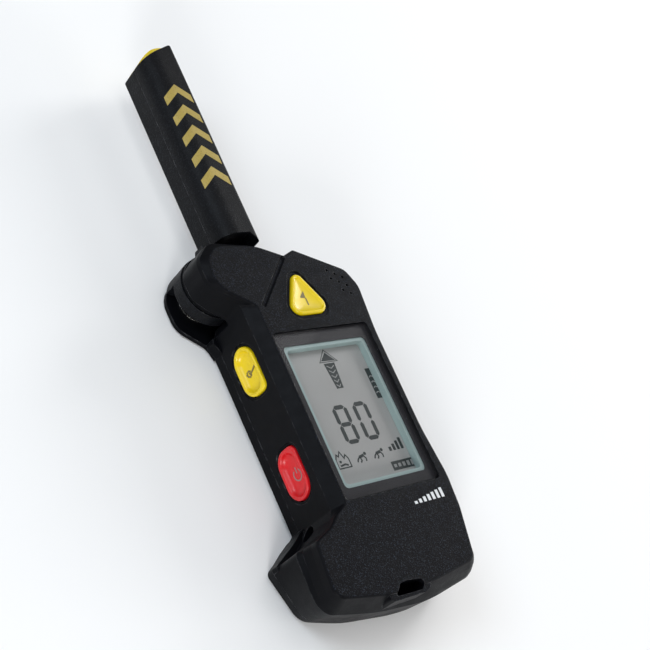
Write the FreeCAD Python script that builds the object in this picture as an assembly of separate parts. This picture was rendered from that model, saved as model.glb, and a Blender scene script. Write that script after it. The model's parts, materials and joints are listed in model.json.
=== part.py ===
"""Avalanche transceiver with a swing-out antenna arm.

Millimetres. The device lies on its back: z = 0 is the rest face, +Z comes out of the display,
+Y runs along the device towards the open arm, +X is to the right of the display.
Each sub-part is written to its own STEP file, named after the node.
"""
import math
import os
import FreeCAD
import Part

V = FreeCAD.Vector

# ---- driving dimensions of the casing ----
BACK_Z = 0.0
PART_LINE_Z = 5.0
FRONT_Z = 26.0
WALL = 2.0
FACE_WALL = 2.0
INNER_TOP_Z = FRONT_Z - FACE_WALL
SHOULDER_Z = 22.8
BEVEL_Z = 18.0
SCOOP_Z = 19.5
HEEL_Z = 1.4
LUG_SHOULDER_Z = 24.2
WAIST_X = -16.3
WAIST_FRONT_X = -12.8
SEAL_GAP = 0.15

# ---- hinge ----
HINGE_X = -14.5
HINGE_Y = 53.0
KNUCKLE_R = 11.2
KNUCKLE_CUT_R = 11.7
KNUCKLE_LOW_Z = 2.45
KNUCKLE_STEP_Z = 7.4
KNUCKLE_TOP_Z = 12.0
LUG_LOW_Z = 14.0
PIN_R = 3.0
PIN_BORE_R = 1.7
PIN_FIT = 0.05
BUSH_R = 4.2
STOP_RADIUS = 9.4
STOP_ANGLES = (57.0, 346.0)
CABLE_R = 0.9
CABLE_HOLE_R = 1.3
CABLE_LOW_Z = 9.0
CABLE_HIGH_Z = 18.0

# ---- antenna arm, swung out ----
ARM_X0 = -11.4
ARM_X1 = 1.8
ARM_Z0 = 8.5
ARM_Z1 = 24.0
ARM_SPLIT_Z = 16.0
ARM_FOOT_Y = 65.6
ARM_TIP_LEFT_Y = 136.2
ARM_TIP_RIGHT_Y = 142.0
ARM_WALL = 1.5
ARM_ROUND = 6.5
ARM_EDGE_R = 1.2
ARM_MID_X = (ARM_X0 + ARM_X1) / 2
ARM_SCREW_X = -4.8

# ---- display ----
WINDOW_X = 7.68
WINDOW_W = 38.6
WINDOW_H = 55.3
WINDOW_LOW_Z = 24.75
WINDOW_TOP_Z = 25.85
WINDOW_GROOVE = 0.4
VIEW_X = 7.7
VIEW_Y = -0.3
VIEW_W = 34.0
VIEW_H = 47.6
GLASS_TOP_Z = 21.9
GLASS_THICK = 1.5

# ---- batteries: three AAA cells ----
CELL_R = 5.2
CELL_BODY = 43.5
CELL_NUB = 1.0
CELL_PITCH = 10.9
CELL_MID_X = 6.9
CELL_Z = 7.3
TRAY_X0 = CELL_MID_X - 17.4
TRAY_X1 = CELL_MID_X + 17.4
TRAY_Y0 = -31.8
TRAY_Y1 = 19.2
TRAY_LOW_Z = 3.0
TRAY_TOP_Z = 13.6
TRAY_WALL = 0.8
CONTACT_THICK = 0.3
COVER_X0 = CELL_MID_X - 18.5
COVER_X1 = CELL_MID_X + 18.5
COVER_Y0 = -35.5
COVER_Y1 = 26.0
COVER_LOW_Z = 0.25
COVER_TOP_Z = 1.4
LEDGE_Z = 1.7
COVER_SCREW_Y = 22.6
COVER_SCREW_R = 1.5

# ---- circuit board ----
BOARD_LOW_Z = 14.2
BOARD_TOP_Z = 15.8

# ---- buttons ----
SIDE_BUTTON_Z = 13.75
SIDE_BUTTON_TALL = 10.3
SIDE_BUTTON_LONG = 16.2
SIDE_BUTTON_GAP = 0.3
SIDE_KEY_TIGHT_R = 2.4
SIDE_KEYS = [(22.0, -1), (-13.0, 1)]
MARK_CORNERS = [(6.9, 49.8, 2.2), (-2.0, 33.0, 3.2), (15.8, 33.0, 3.2)]
MARK_CENTRE = (6.9, 38.6)
MARK_TOP_Z = 26.7

LANYARD_X = -1.5
LANYARD_Y = -54.4
LANYARD_SHELF_Z = 25.5
LANYARD_LOW_Z = 14.0
CASING_SCREWS = [(-21.5, -48.4), (22.0, -48.4), (24.4, 29.4), (-10.9, 32.4)]
SPEAKER_X = 22.3
SPEAKER_Y = 41.6
SPEAKER_R = 6.2
ROD_Y = -42.3
ROD_Z = 8.0
HEIGHT_X = 12.6
HEIGHT_Y = 34.0
ARM_POSTS = (71.4, 127.4)
LEAD_ROUTE = [(HINGE_X, HINGE_Y + 6.0, CABLE_LOW_Z), (-8.0, 66.0, 10.6), (-8.0, 72.4, 13.0)]

# ---- lock button in the arm's tip ----
LOCK_X0 = ARM_X0 + 0.9
LOCK_X1 = -0.6
LOCK_Z0 = 10.4
LOCK_Z1 = 22.6
LOCK_ROUND = 5.6
LOCK_EDGE_R = 0.8
LOCK_BACK_Y = 133.2
LOCK_BOW = 1.6


# ---- helpers ----
def corner_edges(points, z):
    """Edges of a closed outline at height z. Each point is (x, y, corner radius)."""
    count = len(points)
    starts = []
    ends = []
    mids = []
    for i, (x, y, r) in enumerate(points):
        here = V(x, y, z)
        to_last = V(points[i - 1][0], points[i - 1][1], z) - here
        to_next = V(points[(i + 1) % count][0], points[(i + 1) % count][1], z) - here
        to_last.normalize()
        to_next.normalize()
        half = to_last.getAngle(to_next) / 2
        if r == 0:
            starts.append(here)
            ends.append(here)
            mids.append(None)
            continue
        reach = r / math.tan(half)
        bisector = to_last + to_next
        bisector.normalize()
        centre = here + bisector * (r / math.sin(half))
        starts.append(here + to_last * reach)
        ends.append(here + to_next * reach)
        mids.append(centre - bisector * r)
    edges = []
    for i in range(count):
        if mids[i] is not None:
            edges.append(Part.Arc(starts[i], mids[i], ends[i]).toShape())
        edges.append(Part.LineSegment(ends[i], starts[(i + 1) % count]).toShape())
    return edges


def outline(points, z):
    return Part.Wire(corner_edges(points, z))


def prism(points, z0, z1):
    return Part.Face(outline(points, z0)).extrude(V(0, 0, z1 - z0))


def sharp(points):
    return [(x, y, 0) for x, y in points]


def rectangle(cx, cy, width, height, r):
    return [(cx - width / 2, cy - height / 2, r), (cx + width / 2, cy - height / 2, r),
            (cx + width / 2, cy + height / 2, r), (cx - width / 2, cy + height / 2, r)]


def block(x0, x1, y0, y1, z0, z1):
    return Part.makeBox(x1 - x0, y1 - y0, z1 - z0, V(x0, y0, z0))


def drum(x, y, z0, z1, r):
    return Part.makeCylinder(r, z1 - z0, V(x, y, z0), V(0, 0, 1))


def tube(x, y, z0, z1, r_out, r_in):
    return drum(x, y, z0, z1, r_out).cut(drum(x, y, z0 - 1, z1 + 1, r_in))


def rod_x(x0, x1, y, z, r):
    return Part.makeCylinder(r, x1 - x0, V(x0, y, z), V(1, 0, 0))


def rod_y(y0, y1, x, z, r):
    return Part.makeCylinder(r, y1 - y0, V(x, y0, z), V(0, 1, 0))


def joined(shapes):
    return shapes[0].multiFuse(shapes[1:]).removeSplitter()


def group(shapes):
    return Part.makeCompound(shapes)


def offset_prism(points, step, z0, z1):
    """Prism over an outline that is moved outwards by step all round."""
    wire = outline(points, z0).makeOffset2D(step) if step else outline(points, z0)
    return Part.Face(wire).extrude(V(0, 0, z1 - z0))


def spring(base, direction, radius, wire_r, length, turns):
    """Round-wire compression spring from base along direction."""
    path = Part.makeHelix(length / turns, length, radius)
    ring = Part.Wire(Part.makeCircle(wire_r, V(radius, 0, 0), V(0, 1, 0)))
    coil = Part.Wire(path).makePipeShell([ring], True, True)
    coil.Placement = FreeCAD.Placement(base, FreeCAD.Rotation(V(0, 0, 1), direction))
    return coil


def save(shape, name):
    shape.exportStep("parts/" + name + ".step")
    solids = len(shape.Solids)
    print(f"{name:24s} solids {solids} volume {shape.Volume:9.1f} valid {shape.isValid()}")


# ---- outer form of the casing ----
def share(z, z0, z1):
    return min(1.0, max(0.0, (z - z0) / (z1 - z0)))


def casing_points(z):
    """Corner list of the casing's outline at height z; every height has the same corners.

    The right side rounds over towards the front, the lower edge is a flat bevel, the left side of
    the base is scooped above its ridge, and the lug and the waist are chamfered near the front.
    """
    bevel = share(z, BEVEL_Z, FRONT_Z)
    crown = bevel ** 1.5
    scoop = 0.65 * share(z, BEVEL_Z, SCOOP_Z) + 0.35 * share(z, SCOOP_Z, SHOULDER_Z)
    slope = share(z, SHOULDER_Z, FRONT_Z)
    low = 1.0 - share(z, PART_LINE_Z, BEVEL_Z)
    rear = 1.0 if z <= PART_LINE_Z else 0.0
    draft = 1.0 - share(z, BACK_Z, PART_LINE_Z)
    heel = 1.0 - share(z, BACK_Z, HEEL_Z)
    lug = 0.35 * share(z, SHOULDER_Z, LUG_SHOULDER_Z) + 2.3 * share(z, LUG_SHOULDER_Z, FRONT_Z)
    waist_x = WAIST_X + slope * (WAIST_FRONT_X - WAIST_X) + heel * 0.9
    return [
        (-31.0 + 0.2 * low + 2.3 * scoop + 0.8 * draft + heel, -36.9 + 0.3 * rear, 2.0),
        (-31.2 + 4.3 * low + bevel + 1.3 * draft + heel, -55.3 + 2.3 * low + 1.8 * bevel + draft + heel,
         6.0 - 2.0 * bevel),
        (-12.0, -59.4 + 2.1 * low + 2.5 * bevel + draft + heel, 50.0),
        (8.0, -61.0 + 1.2 * low + 4.0 * bevel + draft + heel, 50.0),
        (31.8 - 6.2 * crown - heel, -57.5 - 0.5 * low + 2.8 * crown + heel, 6.5 - 3.0 * crown),
        (31.4 - 1.5 * crown - heel, -40.0 + 2.0 * crown, 12.0),
        (31.3 - 0.2 * crown - heel, -27.5, 30.0),
        (29.7 - heel, -11.0, 60.0),
        (30.1 - heel, 24.5, 60.0),
        (32.0 - heel, 41.5, 8.0),
        (29.2 - heel, 47.9 - heel, 4.5),
        (11.2, 56.8 - heel, 1.0),
        (6.5, 54.9 - heel, 1.0),
        (-3.0, 60.3 - 0.6 * lug - heel, 14.0),
        (-19.6 + 0.5 * lug, 62.5 - lug - heel, 6.0),
        (-26.0 + lug + heel, 56.6 - 0.4 * lug, 6.0),
        (-25.8 + 0.6 * lug + heel, 48.6, 6.0),
        (-22.0 + 0.15 * lug, 44.4 - 0.38 * lug, 5.0),
        (waist_x, 40.0 - slope * 2.2, 1.5),
        (waist_x + 0.9 * heel + 0.4 * low, -28.5 + 0.7 * rear, 1.0),
        (-17.8, -31.0 + 1.7 * rear, 1.0),
        (-21.9, -34.2 + 2.5 * rear, 5.0),
    ]


def casing_form(heights):
    """Solid between the outlines at the given heights, one ruled loft per step."""
    steps = []
    for z0, z1 in zip(heights, heights[1:]):
        low = outline(casing_points(z0), z0)
        high = outline(casing_points(z1), z1)
        steps.append(Part.makeLoft([low, high], True, True))
    return joined(steps)


def cavity_points():
    """Corner list of the space inside the casing, a wall's thickness in from the narrowest outline."""
    return sharp([
        (-14.3, -31.8), (-20.5, -36.4), (-26.6, -39.6), (-26.6, -47.0), (-22.0, -50.6), (-8.0, -51.6),
        (8.0, -51.8),
        (22.0, -51.0), (26.2, -47.0), (28.6, -38.0), (28.6, -29.0), (27.1, -12.0), (27.1, 24.5),
        (29.1, 39.0), (28.6, 43.5), (26.8, 46.4), (11.0, 54.3), (6.2, 52.3), (-0.9, 55.6), (-0.9, 49.0),
        (-3.6, 44.8), (-7.5, 41.2), (-12.5, 39.2), (-14.3, 37.6)])


def hinge_clearance(z0, z1):
    """Space that the knuckle and the arm's neck sweep beside the casing."""
    sweep = sharp([(-2.5, 75.0), (-2.5, HINGE_Y), (HINGE_X, HINGE_Y - KNUCKLE_CUT_R + 0.1), (WAIST_X, 38.4),
                   (-40.0, 38.4), (-40.0, 75.0)])
    return drum(HINGE_X, HINGE_Y, z0, z1, KNUCKLE_CUT_R).fuse(prism(sweep, z0, z1))


def side_key(y, square_end, step, x0, x1):
    """Racetrack plate in the left wall, long side along Y, between x0 and x1.

    One corner on the display's side is squarer: square_end 1 for the upper one, -1 for the lower one.
    """
    long = SIDE_BUTTON_LONG / 2
    tall = SIDE_BUTTON_TALL / 2
    upper = SIDE_KEY_TIGHT_R if square_end > 0 else tall - 0.01
    lower = SIDE_KEY_TIGHT_R if square_end < 0 else tall - 0.01
    points = [(-long, -tall, tall - 0.01), (long, -tall, tall - 0.01), (long, tall, upper),
              (-long, tall, lower)]
    plate = offset_prism(points, step, 0, x1 - x0)
    turn = FreeCAD.Rotation(V(0, 1, 0), V(0, 0, 1), V(1, 0, 0))
    plate.Placement = FreeCAD.Placement(V(x0, y, SIDE_BUTTON_Z), turn)
    return plate


def lanyard_tab():
    """Shelf at the lower edge of the face that the lanyard slot goes through."""
    return prism([(-11.6, -54.0, 0), (-11.6, -58.4, 0.8), (-10.4, -59.2, 0.8), (1.8, -59.4, 1.0),
                  (4.4, -58.5, 1.2), (6.2, -56.2, 0.8), (6.2, -54.0, 0)], BEVEL_Z, LANYARD_SHELF_Z)


def lanyard_hole():
    """Slot for the lanyard, from the shelf in the lower front edge down and out through the back."""
    mouth = prism([(-9.3, -58.0, 0.4), (1.2, -58.4, 0.8), (2.8, -57.0, 0.8), (1.9, -55.3, 0.6),
                   (-3.6, -54.6, 0.3), (-6.4, -54.9, 0.6)], LANYARD_LOW_Z, FRONT_Z + 1)
    shaft = prism(rectangle(LANYARD_X, LANYARD_Y, 8.4, 2.0, 0.9), BACK_Z - 1, BEVEL_Z + 1)
    return mouth.fuse(shaft)


def speaker_holes():
    """Eight sound holes in staggered rows parallel to the casing's upper right edge."""
    holes = []
    for row, count in ((0, 3), (1, 3), (2, 2)):
        for i in range(count):
            x = 21.1 + 2.66 * i + 0.27 * row + (2.6 if row == 2 else 0.0)
            y = 48.0 - 1.5 * i - 3.1 * row - (1.5 if row == 2 else 0.0)
            holes.append(drum(x, y, INNER_TOP_Z - 1, FRONT_Z + 1, 0.5))
    return holes


def front_shell():
    outer = casing_form([PART_LINE_Z + SEAL_GAP, BEVEL_Z, SCOOP_Z, SHOULDER_Z, LUG_SHOULDER_Z, FRONT_Z])
    rim = [e for e in outer.Edges if e.BoundBox.ZMin > FRONT_Z - 0.01 and e.BoundBox.ZMax < FRONT_Z + 0.01]
    outer = outer.makeFillet(0.8, rim)
    step = prism(sharp([(WAIST_X, -27.9), (-21.9, -31.7), (-30.7, -36.5), (-30.7, -38.0), (WAIST_X, -33.0)]),
                 PART_LINE_Z + SEAL_GAP, 7.8)
    outer = joined([outer, step, lanyard_tab()])
    shell = outer.cut(prism(cavity_points(), PART_LINE_Z, INNER_TOP_Z))
    shell = shell.cut(hinge_clearance(PART_LINE_Z, LUG_LOW_Z))
    bosses = [drum(x, y, PART_LINE_Z + SEAL_GAP, INNER_TOP_Z + 0.5, 2.3) for x, y in CASING_SCREWS]
    holes = [drum(x, y, PART_LINE_Z, 17.0, 0.95) for x, y in CASING_SCREWS]
    catch = Part.makeCylinder(2.7, 3.0, V(-18.5, -30.2, 11.0), V(0.75, -0.66, 0))
    groove_run = V(-16.5, -17.0, 0)
    groove = Part.makeCylinder(0.9, groove_run.Length, V(6.0, 54.5, FRONT_Z + 0.25), groove_run)
    recess = offset_prism(MARK_CORNERS, 1.5, FRONT_Z - 0.35, FRONT_Z + 1)
    window = prism(rectangle(WINDOW_X, 0, WINDOW_W + 2 * WINDOW_GROOVE, WINDOW_H + 2 * WINDOW_GROOVE, 1.6),
                   24.4, FRONT_Z + 1)
    view = prism(rectangle(WINDOW_X, 0, 37.2, 53.0, 1.0), INNER_TOP_Z - 1, FRONT_Z)
    cuts = [catch, groove, recess, window, view, lanyard_hole()] + speaker_holes() + holes
    cuts.append(offset_prism(MARK_CORNERS, SIDE_BUTTON_GAP, INNER_TOP_Z - 1, FRONT_Z + 1))
    cuts.append(drum(HINGE_X, HINGE_Y, LUG_LOW_Z - 1, 16.5, PIN_R + 0.02))
    cuts.append(drum(HINGE_X, HINGE_Y, 16.0, CABLE_HIGH_Z, CABLE_HOLE_R))
    cuts.append(rod_x(HINGE_X, 0.5, HINGE_Y, CABLE_HIGH_Z, CABLE_HOLE_R))
    cuts.append(Part.makeSphere(CABLE_HOLE_R, V(HINGE_X, HINGE_Y, CABLE_HIGH_Z)))
    for y, square_end in SIDE_KEYS:
        cuts.append(side_key(y, square_end, SIDE_BUTTON_GAP, WAIST_X - 2, WAIST_X + 4))
        cuts.append(side_key(y, square_end, 1.1, WAIST_X - 2, WAIST_X + 0.45))
    shell = joined([shell] + bosses)
    return shell.cut(Part.makeCompound(cuts)).Solids[0]


def rear_shell():
    outer = casing_form([BACK_Z, HEEL_Z, PART_LINE_Z])
    shell = outer.cut(prism(cavity_points(), WALL, PART_LINE_Z + 1))
    shell = shell.cut(hinge_clearance(WALL, PART_LINE_Z + 1))
    shell = shell.cut(prism(sharp([(-2.5, 75), (-2.5, 52), (-14, 40), (-16.2, 38.4), (-40, 38.4), (-40, 75)]),
                            BACK_Z - 1, PART_LINE_Z + 1))
    plate_points = [(-2.0, 40.0, 0), (-2.0, 59.6, 6.0), (-10.0, 62.6, 8.0), (-18.5, 62.9, 8.0),
                    (-26.1, 56.8, 9.0), (-26.0, 45.3, 8.0), (-17.4, 37.6, 5.0), (-16.2, 33.0, 0)]
    plate = prism(plate_points, BACK_Z, WALL)
    plate_rim = [e for e in plate.Edges if e.BoundBox.ZMax < 0.01 and e.BoundBox.XMin < -5]
    plate = plate.makeChamfer(0.5, plate_rim)
    filler_points = sharp([(-15.5, 32.8), (WAIST_X, 32.8), (-18.0, 36.6), (-17.6, 38.3), (-15.5, 38.3)])
    filler = prism(filler_points, WALL, 6.0)
    filler = filler.cut(block(WAIST_X, 0, 30, 40, PART_LINE_Z, 10))
    frame = block(COVER_X0 - 1.2, COVER_X1 + 1.2, COVER_Y0 - 1.2, COVER_Y1 + 1.2, WALL - 0.5, TRAY_LOW_Z)
    boss = drum(CELL_MID_X, COVER_SCREW_Y, LEDGE_Z, 9.5, 3.2)
    stops = []
    for angle in STOP_ANGLES:
        x = HINGE_X + STOP_RADIUS * math.cos(math.radians(angle))
        y = HINGE_Y + STOP_RADIUS * math.sin(math.radians(angle))
        stops.append(drum(x, y, WALL - 0.5, KNUCKLE_STEP_Z - 0.3, 1.5))
    shell = joined([shell, plate, filler, frame, boss] + stops)
    cuts = [
        block(COVER_X0 - 0.3, COVER_X1 + 0.3, COVER_Y0 - 0.3, COVER_Y1 + 0.3, -1, LEDGE_Z),
        block(TRAY_X0 + 0.9, TRAY_X1 - 0.9, TRAY_Y0 + 0.9, TRAY_Y1 - 0.9, 0, 10),
        drum(CELL_MID_X, COVER_SCREW_Y, 0, 9.0, COVER_SCREW_R + PIN_FIT),
        drum(HINGE_X, HINGE_Y, -1, WALL + 1, PIN_R + 0.02),
        drum(HINGE_X, HINGE_Y, -1, 0.9, 5.0),
        lanyard_hole(),
    ]
    for x, y in CASING_SCREWS:
        cuts.append(drum(x, y, -1, PART_LINE_Z + 1, 1.3))
        cuts.append(drum(x, y, -1, 1.1, 2.3))
    return shell.cut(Part.makeCompound(cuts)).Solids[0]


def casing_seal():
    """Thin seal in the parting line, around the main space."""
    inset = [(x * 0.985, y * 0.985, r) for x, y, r in casing_points(PART_LINE_Z + SEAL_GAP)]
    ring = prism(inset, PART_LINE_Z, PART_LINE_Z + SEAL_GAP)
    ring = ring.cut(prism(cavity_points(), PART_LINE_Z - 1, PART_LINE_Z + 1))
    ring = ring.cut(hinge_clearance(PART_LINE_Z - 1, PART_LINE_Z + 1))
    ring = ring.cut(lanyard_hole())
    solids = sorted(ring.Solids, key=lambda s: s.Volume)
    return solids[-1]


def casing_screws():
    screws = []
    for x, y in CASING_SCREWS:
        shank = drum(x, y, 1.2, 15.0, 0.93)
        head = drum(x, y, 0.35, 1.1, 2.1).cut(drum(x, y, 0, 0.8, 0.8))
        screws.append(joined([shank.cut(drum(x, y, 0, 1.0, 1)), head, drum(x, y, 1.05, 1.3, 0.93)]))
    return group(screws)


# ---- hinge ----
def hinge_pin():
    shank = tube(HINGE_X, HINGE_Y, 0.9, 16.4, PIN_R, PIN_BORE_R)
    head = tube(HINGE_X, HINGE_Y, 0.3, 0.9, 4.7, PIN_BORE_R)
    window = block(HINGE_X - 4, HINGE_X + 1.2, HINGE_Y - 4, HINGE_Y + 4, CABLE_LOW_Z - 1.2, CABLE_LOW_Z + 1.2)
    return joined([shank, head]).cut(window)


def hinge_cap():
    return drum(HINGE_X, HINGE_Y, 0.3, 1.4, PIN_BORE_R - 0.03)


def hinge_bush():
    bush = tube(HINGE_X, HINGE_Y, KNUCKLE_LOW_Z, KNUCKLE_TOP_Z, BUSH_R, PIN_R + PIN_FIT)
    return bush.cut(rod_y(HINGE_Y, HINGE_Y + 8, HINGE_X, CABLE_LOW_Z, CABLE_HOLE_R))


def hinge_washer():
    return tube(HINGE_X, HINGE_Y, WALL + 0.05, KNUCKLE_LOW_Z - 0.05, 7.0, PIN_R + 0.1)


def o_ring(thickness_r):
    return Part.makeTorus(PIN_R + 0.62, thickness_r, V(HINGE_X, HINGE_Y, KNUCKLE_TOP_Z + 1.1))


def hinge_spacer():
    ring = tube(HINGE_X, HINGE_Y, KNUCKLE_TOP_Z + 0.2, LUG_LOW_Z, 10.8, PIN_R + 0.04)
    return ring.cut(o_ring(0.55))


def hinge_o_ring():
    return o_ring(0.5)


def hinge_lead():
    """Antenna lead on the casing's side: in through the lug and down the pin."""
    across = rod_x(HINGE_X, -1.2, HINGE_Y, CABLE_HIGH_Z - 0.3, CABLE_R)
    down = drum(HINGE_X, HINGE_Y, CABLE_LOW_Z + 1.1, CABLE_HIGH_Z - 0.3, CABLE_R)
    elbow = Part.makeSphere(CABLE_R, V(HINGE_X, HINGE_Y, CABLE_HIGH_Z - 0.3))
    return joined([across, down, elbow])


def lead_run(start_y, radius):
    """Round run along the lead's route, from beside the pin into the arm."""
    start = V(HINGE_X, start_y, CABLE_LOW_Z)
    runs = []
    for corner in LEAD_ROUTE:
        end = V(*corner)
        run = end - start
        runs.append(Part.makeCylinder(radius, run.Length, start, run))
        runs.append(Part.makeSphere(radius, end))
        start = end
    return joined(runs)


def arm_lead():
    """Antenna lead on the arm's side: out of the pin, along the neck and up into the arm."""
    return lead_run(HINGE_Y, CABLE_R)


# ---- antenna arm ----
def arm_section(x0, x1, z0, z1, front_left, other):
    """Outline across the arm in the XZ plane, as corners for a prism that is laid along Y."""
    return [(x0, z0, other), (x1, z0, other), (x1, z1, other), (x0, z1, front_left)]


def along_y(points, y0, y1):
    flat = prism(points, 0, y1 - y0)
    flat.Placement = FreeCAD.Placement(V(0, y1, 0), FreeCAD.Rotation(V(1, 0, 0), V(0, 0, 1), V(0, -1, 0)))
    return flat


def tip_wedge(step):
    """Everything beyond the arm's slanted tip, moved out along the arm by step."""
    slope = (ARM_TIP_RIGHT_Y - ARM_TIP_LEFT_Y) / (ARM_X1 - ARM_X0)
    left = ARM_TIP_LEFT_Y + step
    return prism(sharp([(ARM_X0 - 5, left - 5 * slope), (ARM_X1 + 5, ARM_TIP_RIGHT_Y + step + 5 * slope),
                        (ARM_X1 + 5, 170), (ARM_X0 - 5, 170)]), 0, 40)


def arm_outer():
    bar = along_y(arm_section(ARM_X0, ARM_X1, ARM_Z0, ARM_Z1, ARM_ROUND, ARM_EDGE_R), ARM_FOOT_Y - 3.4, 150)
    bar = bar.cut(tip_wedge(0))
    foot_points = sharp([(-20, 50), (10, 50), (10, 62.2), (ARM_X1, 62.2), (-1.0, ARM_FOOT_Y),
                         (-20, ARM_FOOT_Y)])
    foot = prism(foot_points, KNUCKLE_TOP_Z, 40)
    bar = bar.cut(foot)
    ends = [e for e in bar.Edges if e.BoundBox.YMin > ARM_TIP_LEFT_Y - 1.5]
    return bar.makeFillet(0.7, ends)


def arm_cavity():
    section = arm_section(ARM_X0 + ARM_WALL, ARM_X1 - ARM_WALL, ARM_Z0 + ARM_WALL, ARM_Z1 - ARM_WALL,
                          ARM_ROUND - ARM_WALL, 0.5)
    return along_y(section, 69.0, 150).cut(tip_wedge(-2.0))


def lock_section(step):
    """Outline of the lock button across the arm, moved outwards by step."""
    return arm_section(LOCK_X0 - step, LOCK_X1 + step, LOCK_Z0 - step, LOCK_Z1 + step,
                       LOCK_ROUND + step, LOCK_EDGE_R)


def lock_opening(step):
    """Opening in the arm's tip that the lock button slides in."""
    return along_y(lock_section(step), 125, 150)


def arm_front_shell():
    half = arm_outer().cut(arm_cavity()).cut(block(-40, 40, 0, 200, -5, ARM_SPLIT_Z + 0.04))
    screw_posts = [drum(ARM_SCREW_X, y, ARM_SPLIT_Z + 0.04, ARM_Z1 - 1, 1.7) for y in ARM_POSTS]
    half = joined([half] + screw_posts)
    pilots = [drum(ARM_SCREW_X, y, ARM_SPLIT_Z - 1, 20.5, 0.8) for y in ARM_POSTS]
    return half.cut(Part.makeCompound(pilots)).cut(lock_opening(0.2)).Solids[0]


def arm_rear_shell():
    half = arm_outer().cut(block(-40, 40, 0, 200, ARM_SPLIT_Z, 60))
    web = prism([(-24.4, 57.2, 2.0), (-13.2, 64.4, 3.0), (-11.3, 69.0, 0), (1.7, 69.0, 0), (1.7, 62.8, 0.8),
                 (-3.1, 61.4, 1.0), (-3.4, 52.0, 0), (-14.5, 44.0, 0), (-24.6, 50.0, 0)],
                KNUCKLE_STEP_Z, KNUCKLE_TOP_Z)
    disc = drum(HINGE_X, HINGE_Y, KNUCKLE_STEP_Z, KNUCKLE_TOP_Z, KNUCKLE_R)
    heel = drum(HINGE_X, HINGE_Y, KNUCKLE_LOW_Z, KNUCKLE_STEP_Z, KNUCKLE_R)
    keep = prism(sharp([(HINGE_X, HINGE_Y), (HINGE_X + 8, HINGE_Y + 20), (HINGE_X - 20, HINGE_Y + 20),
                        (HINGE_X - 20, HINGE_Y + 9.3)]), 0, 20)
    heel = heel.common(keep).fuse(drum(HINGE_X, HINGE_Y, KNUCKLE_LOW_Z, KNUCKLE_STEP_Z, 6.0))
    half = joined([half, web, disc, heel])
    cuts = [
        arm_cavity(),
        lock_opening(0.2),
        drum(HINGE_X, HINGE_Y, 0, 20, BUSH_R),
        lead_run(HINGE_Y + 2.0, CABLE_HOLE_R),
    ]
    half = half.cut(Part.makeCompound(cuts))
    posts = [drum(ARM_SCREW_X, y, ARM_Z0 + 0.5, ARM_SPLIT_Z, 1.9) for y in ARM_POSTS]
    half = joined([half] + posts)
    holes = []
    for y in ARM_POSTS:
        holes.append(drum(ARM_SCREW_X, y, 0, 20, 1.0))
        holes.append(drum(ARM_SCREW_X, y, 0, ARM_Z0 + 1.5, 1.8))
    return half.cut(Part.makeCompound(holes)).Solids[0]


def arm_screws():
    screws = []
    for y in ARM_POSTS:
        shank = drum(ARM_SCREW_X, y, ARM_Z0 + 1.5, 19.5, 0.78)
        head = drum(ARM_SCREW_X, y, ARM_Z0 + 0.4, ARM_Z0 + 1.5, 1.6)
        screws.append(joined([shank, head]))
    return group(screws)


def arm_antenna_rod():
    return rod_y(76.0, 124.0, ARM_MID_X, ARM_SPLIT_Z, 3.2)


def arm_antenna_coil():
    coil = rod_y(81.0, 119.0, ARM_MID_X, ARM_SPLIT_Z, 4.2)
    return coil.cut(rod_y(80.0, 120.0, ARM_MID_X, ARM_SPLIT_Z, 3.25))


def arm_antenna_cradle():
    """Plastic holder: a floor strip with a ring round each end of the rod."""
    floor_z = ARM_Z0 + ARM_WALL
    pieces = [block(ARM_MID_X - 4.2, ARM_MID_X + 4.2, 75.0, 125.0, floor_z + 0.05, floor_z + 0.9)]
    for y in (76.5, 120.5):
        pieces.append(rod_y(y, y + 3.0, ARM_MID_X, ARM_SPLIT_Z, 4.6))
        pieces.append(block(ARM_MID_X - 3.0, ARM_MID_X + 3.0, y, y + 3.0, floor_z + 0.5, 12.5))
    bore = rod_y(70.0, 130.0, ARM_MID_X, ARM_SPLIT_Z, 3.25)
    return joined(pieces).cut(bore)


def arm_magnet():
    return block(ARM_X0 + ARM_WALL + 0.05, ARM_X0 + ARM_WALL + 1.4, 126.3, 128.2, 12.5, 17.2)


def lock_button():
    """Sliding latch in the arm's tip, its outer face bowed past the slanted end."""
    slope = (ARM_TIP_RIGHT_Y - ARM_TIP_LEFT_Y) / (ARM_X1 - ARM_X0)
    left_y = ARM_TIP_LEFT_Y + (LOCK_X0 - ARM_X0) * slope
    right_y = ARM_TIP_LEFT_Y + (LOCK_X1 - ARM_X0) * slope
    left = V(LOCK_X0, left_y + 0.3, ARM_Z0)
    right = V(LOCK_X1, right_y + 0.1, ARM_Z0)
    crown = V((LOCK_X0 + LOCK_X1) / 2, (left_y + right_y) / 2 + LOCK_BOW, ARM_Z0)
    back_right = V(LOCK_X1, LOCK_BACK_Y, ARM_Z0)
    back_left = V(LOCK_X0, LOCK_BACK_Y, ARM_Z0)
    edges = [Part.Arc(left, crown, right).toShape(), Part.LineSegment(right, back_right).toShape(),
             Part.LineSegment(back_right, back_left).toShape(), Part.LineSegment(back_left, left).toShape()]
    plan = Part.Face(Part.Wire(edges)).extrude(V(0, 0, ARM_Z1 - ARM_Z0))
    cap = along_y(lock_section(0), LOCK_BACK_Y, 150).common(plan)
    face = max(cap.Faces, key=lambda f: f.CenterOfMass.y)
    return cap.makeFillet(0.4, face.Edges)


def lock_spring():
    start = V(ARM_MID_X, ARM_POSTS[1] + 2.3, ARM_SPLIT_Z)
    return spring(start, V(0, 1, 0), 1.7, 0.25, LOCK_BACK_Y - start.y - 0.3, 3)


# ---- display ----
def display_window():
    return prism(rectangle(WINDOW_X, 0, WINDOW_W, WINDOW_H, 1.4), WINDOW_LOW_Z, WINDOW_TOP_Z)


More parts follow.
